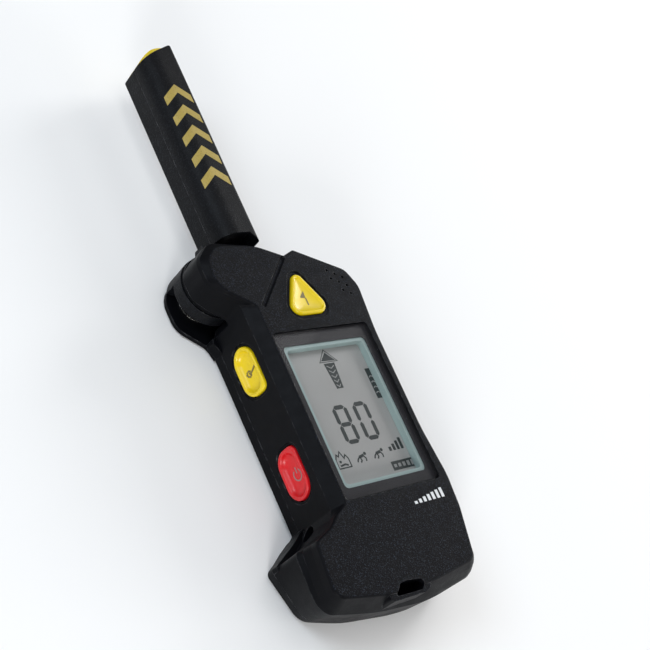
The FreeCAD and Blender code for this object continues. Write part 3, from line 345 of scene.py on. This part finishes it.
# ---- mesh helpers ----
class Shape:
    """Closed faces gathered into one mesh, in millimetres."""

    def __init__(self):
        self.points = []
        self.faces = []

    def rings(self, rings):
        """Skin through rings of equal point counts, closed at both ends."""
        start = len(self.points)
        count = len(rings[0])
        for ring in rings:
            self.points += ring
        for level in range(len(rings) - 1):
            for i in range(count):
                here = start + level * count + i
                beside = start + level * count + (i + 1) % count
                self.faces.append((here, beside, beside + count, here + count))
        self.faces.append(tuple(reversed(range(start, start + count))))
        last = start + (len(rings) - 1) * count
        self.faces.append(tuple(range(last, last + count)))

    def plate(self, outline, place, foot, top):
        """Flat shape between two heights over the surface that place() lays it on."""
        self.rings([[place(u, v, foot) for u, v in outline], [place(u, v, top) for u, v in outline]])

    def ribbon(self, line, width, place, foot, top, closed=False):
        """Stroke of even width along a line of points, as a closed strip."""
        left, right = stroke_sides(line, width, closed)
        sections = []
        for (lu, lv), (ru, rv) in zip(left, right):
            sections.append([place(lu, lv, foot), place(ru, rv, foot),
                             place(ru, rv, top), place(lu, lv, top)])
        if not closed:
            self.rings(sections)
            return
        start = len(self.points)
        for section in sections:
            self.points += section
        total = len(sections)
        for step in range(total):
            for i in range(4):
                here = start + step * 4
                ahead = start + (step + 1) % total * 4
                self.faces.append((here + i, here + (i + 1) % 4, ahead + (i + 1) % 4, ahead + i))

    def piece(self, name, body, slot, material, smooth=False, subdivide=0):
        mesh = bpy.data.meshes.new(name)
        mesh.from_pydata([Vector(point) * MM for point in self.points], [], self.faces)
        shape = bmesh.new()
        shape.from_mesh(mesh)
        bmesh.ops.recalc_face_normals(shape, faces=shape.faces)
        shape.to_mesh(mesh)
        shape.free()
        mesh.materials.append(material)
        piece = bpy.data.objects.new(name, mesh)
        bpy.context.scene.collection.objects.link(piece)
        if smooth:
            mesh.polygons.foreach_set("use_smooth", [True] * len(mesh.polygons))
        if subdivide:
            modifier = piece.modifiers.new("smooth", "SUBSURF")
            modifier.levels = subdivide
            modifier.render_levels = subdivide
        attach(piece, body)
        return piece


def stroke_sides(line, width, closed):
    """Points on the left and right of a line, mitred at its corners."""
    left = []
    right = []
    count = len(line)
    for i, (u, v) in enumerate(line):
        before = line[i - 1] if closed or i > 0 else None
        after = line[(i + 1) % count] if closed or i < count - 1 else None
        into = Vector((u - before[0], v - before[1])).normalized() if before else None
        out = Vector((after[0] - u, after[1] - v)).normalized() if after else None
        into = into or out
        out = out or into
        along = (into + out).normalized()
        across = Vector((-along.y, along.x))
        reach = width / 2 / max(0.5, across.dot(Vector((-out.y, out.x))))
        left.append((u + across.x * reach, v + across.y * reach))
        right.append((u - across.x * reach, v - across.y * reach))
    return left, right


def arc(cu, cv, radius, start, end, steps):
    """Points on an arc from start to end, in degrees."""
    points = []
    for i in range(steps + 1):
        angle = math.radians(start + (end - start) * i / steps)
        points.append((cu + radius * math.cos(angle), cv + radius * math.sin(angle)))
    return points


def bar(cu, cv, width, height):
    return [(cu - width / 2, cv - height / 2), (cu + width / 2, cv - height / 2),
            (cu + width / 2, cv + height / 2), (cu - width / 2, cv + height / 2)]


# ---- side buttons ----
KEY_LONG = (high("option_button").y - low("option_button").y) / 2 - 0.9
KEY_TALL = (high("option_button").z - low("option_button").z) / 2 - 0.9
KEY_TIGHT = 2.4
KEY_ROUND_BY = 1.3
KEY_CORNER_STEPS = 10
# (inset from the rim, distance out of the wall's face) from the base over the rim into the dish
KEY_PROFILE = [(0.0, -2.0), (0.0, -0.1), (0.1, 0.16), (0.35, 0.3), (0.75, 0.3), (1.1, 0.18), (1.3, -0.02),
               (1.45, -0.35), (1.8, -0.95), (2.4, -1.4), (3.2, -1.62), (4.1, -1.7), (4.9, -1.72)]
WALL_X = low("option_button").x + 0.1
FLANGE_FRONT = -2.05
FLANGE_THICK = 0.45
FLANGE_REACH = 0.85
STEM_R = 1.5
KEY_SPINE = KEY_LONG - KEY_TALL


def key_ring(inset, square_end, centre, out):
    """Racetrack ring at an inset; one corner towards the display is squarer until the dish begins."""
    long = KEY_LONG - inset
    tall = KEY_TALL - inset
    share = min(1.0, inset / KEY_ROUND_BY)
    tight = (KEY_TIGHT - inset * 0.4) * (1 - share) + tall * share
    corners = [(1, 1, tight if square_end > 0 else tall), (-1, 1, tight if square_end < 0 else tall),
               (-1, -1, tall), (1, -1, tall)]
    ring = []
    for quarter, (side_y, side_z, radius) in enumerate(corners):
        radius = min(radius, tall - 0.001)
        around = arc(side_y * (long - radius), side_z * (tall - radius), radius, 90 * quarter,
                     90 * (quarter + 1), KEY_CORNER_STEPS)
        for along, up in around:
            ring.append((WALL_X - out, centre.y + along, centre.z + up))
    return ring


def key_depth(along, up):
    """Distance out of the wall's face of the dish's floor at a place on the key."""
    inset = KEY_TALL - math.hypot(max(abs(along) - KEY_SPINE, 0.0), up)
    for (inset_0, out_0), (inset_1, out_1) in zip(KEY_PROFILE[2:], KEY_PROFILE[3:]):
        if inset <= inset_1:
            return out_0 + (out_1 - out_0) * max(0.0, inset - inset_0) / (inset_1 - inset_0)
    return KEY_PROFILE[-1][1]


def side_button(node, square_end, slot):
    """Dished key with a rounded rim, on the flange that holds it behind the wall."""
    centre = middle(node)
    key = Shape()
    key.rings([key_ring(inset, square_end, centre, out) for inset, out in KEY_PROFILE])
    flange_out = FLANGE_FRONT - FLANGE_THICK
    stem_ring = [(centre.y + u, centre.z + v) for u, v in arc(0, 0, STEM_R, 0, 345, 23)]
    key.rings([key_ring(-FLANGE_REACH, square_end, centre, out) for out in (flange_out, FLANGE_FRONT)])
    key.rings([[(x, y, z) for y, z in stem_ring] for x in (high(node).x, WALL_X - flange_out - 0.05)])
    piece = key.piece(node + "_key", node, slot, MATERIALS[slot], smooth=True, subdivide=1)
    crease_base(piece)
    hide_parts(node)
    return centre


def crease_base(piece):
    """Keeps the hidden flat ends crisp under subdivision."""
    shape = bmesh.new()
    shape.from_mesh(piece.data)
    crease = shape.edges.layers.float.get("crease_edge") or shape.edges.layers.float.new("crease_edge")
    for edge in shape.edges:
        if len(edge.link_faces) == 2 and edge.calc_face_angle(0.0) > math.radians(60):
            edge[crease] = 1.0
    shape.to_mesh(piece.data)
    shape.free()


SIGN_FOOT = -0.12
SIGN_TOP = 0.05


def wall_place(centre):
    """Lays a sign on a side key's dish: u towards the front, v along the device."""
    def place(u, v, rise):
        return (WALL_X - key_depth(v, u) - rise, centre.y + v, centre.z + u)
    return place


def option_sign(centre):
    """A tick that grows out of a small gear wheel."""
    sign = Shape()
    place = wall_place(centre)
    gear = []
    for tooth in range(8):
        for offset, radius in ((-16, 0.72), (-8, 1.08), (8, 1.08), (16, 0.72)):
            gear += arc(-1.7, -0.1, radius, tooth * 45 + offset, tooth * 45 + offset, 1)[:1]
    sign.ribbon(gear, 0.3, place, SIGN_FOOT, SIGN_TOP, closed=True)
    tick = [(-1.7, 0.25), (-1.35, -0.35), (-0.4, 0.0), (2.9, 1.15)]
    sign.ribbon(tick, 0.5, place, SIGN_FOOT, SIGN_TOP + 0.03)
    sign.piece("option_sign", "option_button", "casing", SIGN_BROWN)


def power_sign(centre):
    """Open ring with a stroke in its gap."""
    sign = Shape()
    place = wall_place(centre)
    sign.ribbon(arc(0, -0.2, 1.75, 125, 415, 40), 0.42, place, SIGN_FOOT, SIGN_TOP)
    sign.ribbon([(0, 0.3), (0, 1.2), (0, 2.2)], 0.42, place, SIGN_FOOT, SIGN_TOP)
    sign.piece("power_sign", "power_button", "casing", SIGN_GREY)


# ---- mark button ----
MARK_CORNERS = [(0.0, 12.4, 2.2), (-8.9, -4.4, 3.2), (8.9, -4.4, 3.2)]
MARK_CORNER_STEPS = 14
MARK_SIDE_STEPS = 8
# (inset, height below the button's top) over the rim, then (share of the last ring, height) in the dish
MARK_RIM = [(0.0, -3.3), (0.0, -0.62), (0.1, -0.32), (0.34, -0.08), (0.7, 0.0), (1.0, -0.12), (1.2, -0.4),
            (1.45, -0.58)]
MARK_DISH = [(0.86, -0.68), (0.66, -0.82), (0.42, -0.93), (0.2, -0.98), (0.04, -1.0)]


def mark_outline():
    """Outline points of the rounded triangle about its own centre, with their outward directions."""
    count = len(MARK_CORNERS)
    arcs = []
    for i, (x, y, radius) in enumerate(MARK_CORNERS):
        here = Vector((x, y))
        to_last = (Vector(MARK_CORNERS[i - 1][:2]) - here).normalized()
        to_next = (Vector(MARK_CORNERS[(i + 1) % count][:2]) - here).normalized()
        half = to_last.angle(to_next) / 2
        centre = here + (to_last + to_next).normalized() * (radius / math.sin(half))
        start = math.atan2(*reversed(here + to_last * radius / math.tan(half) - centre))
        end = math.atan2(*reversed(here + to_next * radius / math.tan(half) - centre))
        if end < start:
            end += 2 * math.pi
        arcs.append((centre, radius, start, end))
    points = []
    for i, (centre, radius, start, end) in enumerate(arcs):
        for step in range(MARK_CORNER_STEPS + 1):
            angle = start + (end - start) * step / MARK_CORNER_STEPS
            outward = Vector((math.cos(angle), math.sin(angle)))
            points.append((centre + outward * radius, outward))
        after = arcs[(i + 1) % count]
        outward = Vector((math.cos(end), math.sin(end)))
        leave = centre + outward * radius
        arrive = after[0] + Vector((math.cos(after[2]), math.sin(after[2]))) * after[1]
        for step in range(1, MARK_SIDE_STEPS):
            points.append((leave.lerp(arrive, step / MARK_SIDE_STEPS), outward))
    return points


def mark_button():
    """Rounded triangular key with a raised rim round a shallow dish, and its flange and stem."""
    node = "mark_button"
    centre = Vector((middle(node).x, low(node).y + 5.1, 0))
    top = high(node).z
    outline = mark_outline()
    key = Shape()
    rings = []
    for inset, rise in MARK_RIM:
        rings.append([(centre.x + p.x - n.x * inset, centre.y + p.y - n.y * inset, top + rise)
                      for p, n in outline])
    inner = rings[-1]
    for share, rise in MARK_DISH:
        rings.append([(centre.x + (x - centre.x) * share, centre.y + (y - centre.y) * share, top + rise)
                      for x, y, _ in inner])
    key.rings(rings)
    flange = [(centre.x + p.x + n.x * 0.65, centre.y + p.y + n.y * 0.65) for p, n in outline]
    key.rings([[(x, y, low(node).z + rise) for x, y in flange] for rise in (2.7, 3.3)])
    stem = arc(centre.x, centre.y, STEM_R, 0, 345, 23)
    key.rings([[(x, y, z) for x, y in stem] for z in (low(node).z, low(node).z + 2.65)])
    piece = key.piece("mark_button_key", node, "yellow_key", MATERIALS["yellow_key"], smooth=True,
                      subdivide=1)
    crease_base(piece)
    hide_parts(node)
    sign = Shape()

    def place(u, v, rise):
        share = math.hypot(u, v) / 5.0
        return (centre.x + u, centre.y + v, top - 1.0 + 0.25 * share * share + rise)

    sign.plate([(0.5, 3.9), (0.5, 1.5), (-1.9, 1.7)], place, SIGN_FOOT, SIGN_TOP)
    sign.ribbon([(0.5, 1.45), (0.5, 0.2), (0.5, -1.4)], 0.5, place, SIGN_FOOT, SIGN_TOP)
    sign.piece("mark_sign", node, "casing", SIGN_BROWN)


# ---- display content ----
INK_RISE = 0.04
CLEAR_RISE = 0.07
DIGIT_WIDTH = 4.6
DIGIT_HEIGHT = 11.7
DIGIT_BAR = 1.4
DIGIT_FOOT = -9.5
DIGIT_LEFT = (1.9, 10.3)


def display_place(u, v, rise):
    return (u, v, high("display_glass").z + rise)


def segment(ink, cu, cv, length, width, upright):
    """One bar of a seven-segment digit, with pointed ends."""
    half = length / 2
    tip = width / 2
    shape = [(-half, 0), (-half + tip, -tip), (half - tip, -tip), (half, 0), (half - tip, tip),
             (-half + tip, tip)]
    if upright:
        shape = [(-v, u) for u, v in shape]
    ink.plate([(cu + u, cv + v) for u, v in shape], display_place, 0, INK_RISE)


def digit(ink, left, foot, lit):
    """Seven-segment digit; lit names its bars: t, m and f across, ul, ur, ll and lr upright."""
    width = DIGIT_WIDTH
    height = DIGIT_HEIGHT
    across = width - 0.3
    tall = height / 2 - 0.3
    places = {
        "t": (width / 2, height, across, False), "m": (width / 2, height / 2, across, False),
        "f": (width / 2, 0, across, False), "ul": (0, height * 0.75, tall, True),
        "ur": (width, height * 0.75, tall, True), "ll": (0, height * 0.25, tall, True),
        "lr": (width, height * 0.25, tall, True),
    }
    for key in lit:
        u, v, length, upright = places[key]
        segment(ink, left + u, foot + v, length, DIGIT_BAR, upright)


def display_arrow():
    ink = Shape()
    ink.plate([(5.7, 18.2), (11.4, 18.0), (8.5, 21.0)], display_place, 0, INK_RISE)
    ink.ribbon([(4.9, 17.75), (12.2, 17.7), (8.4, 22.0)], 0.26, display_place, 0, INK_RISE, closed=True)
    ink.plate([(6.2, 17.2), (7.1, 8.3), (9.8, 8.3), (10.6, 17.2)], display_place, 0, INK_RISE)
    ink.piece("display_arrow", "casing", "mask", LCD_INK)
    clear = Shape()
    for row in range(5):
        half = 1.5 - 0.16 * row
        v = 16.3 - 1.65 * row
        clear.ribbon([(8.4 - half, v), (8.4, v - 0.9), (8.4 + half, v)], 0.3, display_place, INK_RISE,
                     CLEAR_RISE)
    clear.piece("display_arrow_marks", "casing", "display_glass", LCD_CLEAR)


def display_digits():
    ink = Shape()
    digit(ink, DIGIT_LEFT[0], DIGIT_FOOT, ("t", "m", "f", "ul", "ur", "ll", "lr"))
    digit(ink, DIGIT_LEFT[1], DIGIT_FOOT, ("t", "f", "ul", "ur", "ll", "lr"))
    ink.piece("display_digits", "casing", "mask", LCD_INK)


def person(ink, cu, cv):
    """Small crawling figure: head, long body, an arm forward and two legs."""
    ink.plate(arc(cu + 1.7, cv + 1.0, 0.55, 0, 330, 11), display_place, 0, INK_RISE)
    ink.ribbon([(cu + 1.1, cv + 0.6), (cu - 0.9, cv + 0.2)], 0.95, display_place, 0, INK_RISE)
    ink.ribbon([(cu + 0.9, cv + 0.3), (cu + 1.5, cv - 0.6), (cu + 1.3, cv - 1.5)], 0.45, display_place, 0,
               INK_RISE)
    ink.ribbon([(cu - 0.7, cv + 0.1), (cu - 0.4, cv - 0.9), (cu - 1.0, cv - 1.6)], 0.5, display_place, 0,
               INK_RISE)
    ink.ribbon([(cu - 0.9, cv + 0.2), (cu - 1.8, cv - 0.5), (cu - 2.2, cv - 1.3)], 0.5, display_place, 0,
               INK_RISE)


def display_signs():
    """Figure under a mountain outline, two crawling figures and a strength scale."""
    ink = Shape()
    mountain = [(-5.8, -17.0), (-0.8, -17.0), (-0.8, -14.3), (-1.6, -12.9), (-2.4, -14.0), (-3.3, -11.7),
                (-4.3, -13.2), (-4.9, -12.5), (-5.8, -14.2)]
    ink.ribbon(mountain, 0.4, display_place, 0, INK_RISE, closed=True)
    ink.plate(arc(-4.3, -14.9, 0.45, 0, 330, 11), display_place, 0, INK_RISE)
    ink.ribbon([(-4.9, -16.2), (-3.0, -15.9), (-1.8, -16.3)], 0.6, display_place, 0, INK_RISE)
    person(ink, 4.4, -14.9)
    person(ink, 11.5, -14.9)
    for i in range(4):
        ink.plate(bar(16.9 + 1.7 * i, -14.3 + 0.4 * i, 1.1, 1.4 + 0.8 * i), display_place, 0, INK_RISE)
    ink.piece("display_signs", "casing", "mask", LCD_INK)


def display_badges():
    """Dark fields with cleared marks: a signal wave in the upright one, blocks in the lower one."""
    ink = Shape()
    ink.plate(bar(22.7, 8.1, 2.3, 10.7), display_place, 0, INK_RISE)
    ink.plate(bar(19.6, -19.9, 10.0, 3.0), display_place, 0, INK_RISE)
    ink.piece("display_badges", "casing", "mask", LCD_INK)
    clear = Shape()
    for i in range(4):
        clear.ribbon(arc(22.7, 4.2 + 1.9 * i, 0.8, 25, 155, 8), 0.34, display_place, INK_RISE, CLEAR_RISE)
    for i in range(5):
        clear.plate(bar(15.9 + 1.85 * i, -19.9, 1.1, 1.0 + 0.2 * i), display_place, INK_RISE, CLEAR_RISE)
    clear.piece("display_badge_marks", "casing", "display_glass", LCD_CLEAR)


# ---- printed marks ----
def face_mark():
    """Rising bars on the face below the display."""
    ink = Shape()
    face = high("front_shell").z

    def place(u, v, rise):
        return (u, v, face + rise)

    for i in range(7):
        height = 0.9 + 0.36 * i
        ink.plate(bar(13.2 + 1.95 * i, -34.1 + height / 2, 1.15, height), place, -0.05, 0.02)
    ink.piece("face_mark", "casing", "casing", WHITE_PRINT)


ARM_ROUND = 6.5
CHEVRON_COUNT = 5
CHEVRON_PITCH = 8.3
CHEVRON_STEPS = 12


def arm_mark():
    """Row of chevrons along the arm, laid over its front face and rounded edge."""
    ink = Shape()
    edge_x = low("arm_front_shell").x
    top = high("arm_front_shell").z
    left = edge_x + 2.0
    right = high("arm_front_shell").x - 1.5

    def place(u, v, rise):
        over = max(0.0, edge_x + ARM_ROUND - u)
        drop = ARM_ROUND - math.sqrt(max(0.0, ARM_ROUND ** 2 - over ** 2))
        return (u - rise * over / ARM_ROUND, v, top - drop + rise * (1 - over / ARM_ROUND * 0.4))

    for i in range(CHEVRON_COUNT):
        foot = 83.5 + CHEVRON_PITCH * i
        line = []
        for step in range(CHEVRON_STEPS + 1):
            share = step / CHEVRON_STEPS
            line.append((left + (right - left) * share, foot + 4.2 * (1 - abs(2 * share - 1))))
        sections = []
        for u, v in line:
            sections.append([place(u, v, -0.05), place(u, v + 3.4, -0.05), place(u, v + 3.4, 0.03),
                             place(u, v, 0.03)])
        ink.rings(sections)
    ink.piece("arm_mark", "arm", "casing", GOLD_PRINT)


# ---- stage ----
CAMERA_LENS = 69.23
CAMERA_PLACE = Vector((-250.8, -97.9, 289.4))
CAMERA_RIGHT = Vector((0.7401, -0.3999, 0.5406))
CAMERA_BACK = Vector((-0.6658, -0.3229, 0.6727))


def aim_camera():
    """Camera above the lower left of the device, looking across the display towards the open arm."""
    data = bpy.data.cameras.new("camera")
    data.sensor_width = 36.0
    data.lens = CAMERA_LENS
    data.clip_start = 0.01
    data.clip_end = 20.0
    camera = bpy.data.objects.new("camera", data)
    bpy.context.scene.collection.objects.link(camera)
    right = CAMERA_RIGHT.normalized()
    back = CAMERA_BACK.normalized()
    up = back.cross(right).normalized()
    right = up.cross(back)
    turn = Matrix((right, up, back)).transposed().to_4x4()
    camera.matrix_world = Matrix.Translation(CAMERA_PLACE * MM) @ turn
    bpy.context.scene.camera = camera


FLOOR_REACH = 2.0
FLOOR_GAP = 0.0002


def lay_floor():
    """Plain pale floor under the device."""
    reach = FLOOR_REACH
    mesh = bpy.data.meshes.new("floor")
    corners = [(-reach, -reach, 0), (reach, -reach, 0), (reach, reach, 0), (-reach, reach, 0)]
    mesh.from_pydata(corners, [], [(0, 1, 2, 3)])
    floor = bpy.data.objects.new("floor", mesh)
    bpy.context.scene.collection.objects.link(floor)
    floor.location.z = -FLOOR_GAP
    material, tree, shader = new_material("floor_pale")
    tree.links.new(blend_colour(tree, noise(tree, 400.0), (0.86, 0.86, 0.86), (0.9, 0.9, 0.9)),
                   shader.inputs["Base Color"])
    shader.inputs["Roughness"].default_value = 0.9
    shader.inputs["Specular IOR Level"].default_value = 0.1
    mesh.materials.append(material)


TARGET = Vector((0.0, 0.03, 0.015))
WORLD_STRENGTH = 0.26


def soft_box(name, direction, distance, width, height, power, colour=(1.0, 1.0, 1.0)):
    """Rectangular studio light in a direction from the device, facing it."""
    data = bpy.data.lights.new(name, "AREA")
    data.shape = "RECTANGLE"
    data.size = width
    data.size_y = height
    data.energy = power
    data.color = colour
    light = bpy.data.objects.new(name, data)
    bpy.context.scene.collection.objects.link(light)
    out = Vector(direction).normalized()
    light.location = TARGET + out * distance
    light.rotation_euler = out.to_track_quat("Z", "Y").to_euler()


def light_studio():
    """Soft boxes round the device and an even pale surround."""
    soft_box("back_left", (-0.62, 0.36, 0.64), 0.9, 0.4, 0.4, 3.2, (0.8, 0.9, 1.0))
    soft_box("back_right", (0.5, 0.5, 0.7), 1.0, 0.5, 0.4, 0.9)
    soft_box("top", (-0.1, 0.15, 1.0), 1.0, 0.8, 0.8, 2.2)
    soft_box("right_key", (0.84, 0.34, 0.42), 1.0, 0.3, 0.3, 3.2)
    soft_box("right_strip", (0.97, -0.1, 0.16), 0.8, 0.7, 0.1, 2.2)
    soft_box("low_strip", (0.67, -0.65, 0.3), 0.8, 0.5, 0.1, 1.2)
    soft_box("front_fill", (-0.6, -0.74, 0.3), 0.8, 0.2, 0.2, 3.4)
    world = bpy.data.worlds.new("studio")
    world.use_nodes = True
    background = world.node_tree.nodes["Background"]
    background.inputs["Color"].default_value = (1.0, 1.0, 1.0, 1.0)
    background.inputs["Strength"].default_value = WORLD_STRENGTH
    bpy.context.scene.world = world
    bpy.context.scene.view_settings.view_transform = "Standard"


aim_camera()
lay_floor()
light_studio()
finish_cad_nodes()
option_sign(side_button("option_button", -1, "yellow_key"))
power_sign(side_button("power_button", 1, "red_key"))
mark_button()
display_arrow()
display_digits()
display_signs()
display_badges()
face_mark()
arm_mark()
